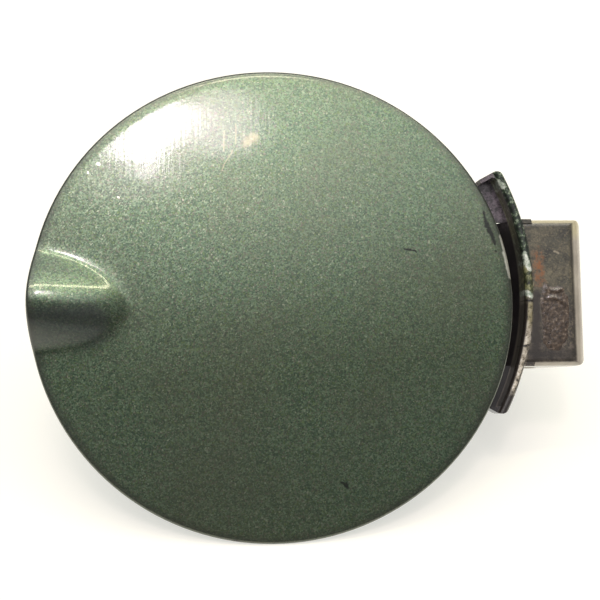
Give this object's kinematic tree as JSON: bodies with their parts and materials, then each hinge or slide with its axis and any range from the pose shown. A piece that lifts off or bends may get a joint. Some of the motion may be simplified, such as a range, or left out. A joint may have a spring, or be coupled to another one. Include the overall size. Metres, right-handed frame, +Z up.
{
  "type": "car fuel door",
  "caption": "Round crowned car fuel door with a raised finger grip, on a sprung gooseneck hinge arm and a bolt-on bracket.",
  "frame": {"origin": "midway between the two bolt holes of the hinge bracket, on the bracket's back face", "axes": "+X to the right along the car as the closed door is seen from outside, +Y into the car, +Z up along the hinge pin"},
  "size_m": [0.1939, 0.055, 0.1632],
  "materials": {
    "green_paint": "gloss",
    "panel_primer": "satin",
    "seam_sealer": "matt",
    "pad_foam": "matt",
    "arm_paint": "satin",
    "bush_plastic": "satin",
    "eye_zinc": "satin",
    "rivet_steel": "satin",
    "buffer_rubber": "matt",
    "holder_plastic": "matt",
    "bracket_zinc": "satin",
    "pin_steel": "polished",
    "clip_steel": "blackened",
    "sleeve_plastic": "satin",
    "spring_steel": "satin"
  },
  "bodies": {
    "bracket": {"hinge_bracket": "bracket_zinc", "hinge_pin": "pin_steel", "pin_clip_upper": "clip_steel", "pin_clip_lower": "clip_steel", "spring_sleeve": "sleeve_plastic", "torsion_spring": "spring_steel"},
    "door": {"outer_skin": "green_paint", "inner_panel": "panel_primer", "hem_sealer": "seam_sealer", "flutter_pad_upper": "pad_foam", "flutter_pad_lower": "pad_foam", "flutter_pad_left": "pad_foam", "hinge_arm": "arm_paint", "bush_upper": "bush_plastic", "bush_lower": "bush_plastic", "striker_eye": "eye_zinc", "striker_rivet_upper": "rivet_steel", "striker_rivet_lower": "rivet_steel", "buffer_upper": "buffer_rubber", "buffer_lower": "buffer_rubber", "cap_holder": "holder_plastic"}
  },
  "joints": [
    {"name": "door_hinge", "type": "hinge", "parent": "bracket", "child": "door", "pos_m": [0.0235, -0.02, 0], "axis": [0, 0, 1], "range_deg": [0, 75], "stiffness_Nm_per_rad": 0.27, "springref_deg": -28.65, "deforming": ["torsion_spring"]}
  ]
}
